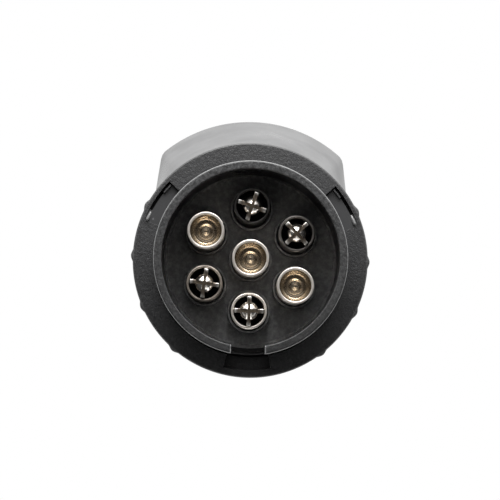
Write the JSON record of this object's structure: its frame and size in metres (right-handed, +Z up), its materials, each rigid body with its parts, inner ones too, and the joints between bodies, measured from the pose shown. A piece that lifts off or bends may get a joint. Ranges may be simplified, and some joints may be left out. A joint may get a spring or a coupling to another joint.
{
  "type": "trailer wiring connector",
  "caption": "Round trailer wiring adapter: seven-pin plug with a shrouded nose and latched collar in front, thirteen-pin socket with a sprung lid behind.",
  "frame": {"origin": "where the connector's axis meets the front face of the collar, which seats against the vehicle's socket", "axes": "+Y along the axis from the plug nose to the lid, +Z up through the hinge, keyway at -Z, +X to the right seen from the nose"},
  "size_m": [0.0558, 0.0805, 0.0655],
  "materials": {
    "black_plastic": "fine spark-eroded texture on the faces, smoother on the housing",
    "insert_plastic": "satin",
    "seal_rubber": "matt",
    "nickel": "bright nickel plate",
    "brass": "turned brass with fine tool rings",
    "steel": "zinc plated",
    "wire_plastic": "cable insulation"
  },
  "bodies": {
    "housing": {"body_gasket": "seal_rubber", "contact_retainer": "insert_plastic", "front_collar": "black_plastic", "hinge_pin": "steel", "insert_screw_1": "steel", "insert_screw_2": "steel", "insert_screw_3": "steel", "jumper_wire_bottom": "wire_plastic", "jumper_wire_centre": "wire_plastic", "jumper_wire_lower_left": "wire_plastic", "jumper_wire_lower_right": "wire_plastic", "jumper_wire_top": "wire_plastic", "jumper_wire_upper_left": "wire_plastic", "jumper_wire_upper_right": "wire_plastic", "lid_spring": "steel", "pin_contact_bottom": "nickel", "pin_contact_lower_left": "nickel", "pin_contact_top": "nickel", "pin_contact_upper_right": "nickel", "pin_sleeve_bottom": "nickel", "pin_sleeve_lower_left": "nickel", "pin_sleeve_top": "nickel", "pin_sleeve_upper_right": "nickel", "plug_nose": "black_plastic", "rear_housing": "black_plastic", "retainer_screw_left": "steel", "retainer_screw_right": "steel", "socket_contact_01": "brass", "socket_contact_02": "brass", "socket_contact_03": "brass", "socket_contact_04": "brass", "socket_contact_05": "brass", "socket_contact_06": "brass", "socket_contact_07": "brass", "socket_contact_08": "brass", "socket_contact_09": "brass", "socket_contact_10": "brass", "socket_contact_11": "brass", "socket_contact_12": "brass", "socket_contact_13": "brass", "socket_insert": "insert_plastic", "tube_contact_centre": "brass", "tube_contact_lower_right": "brass", "tube_contact_upper_left": "brass"},
    "lid": {"lid": "black_plastic", "lid_gasket": "seal_rubber"}
  },
  "joints": [
    {"name": "lid_hinge", "type": "hinge", "parent": "housing", "child": "lid", "pos_m": [0, 0.0633, 0.0318], "axis": [1, 0, 0], "range_deg": [0, 110], "stiffness_Nm_per_rad": 0.02, "springref_deg": -34.38}
  ]
}
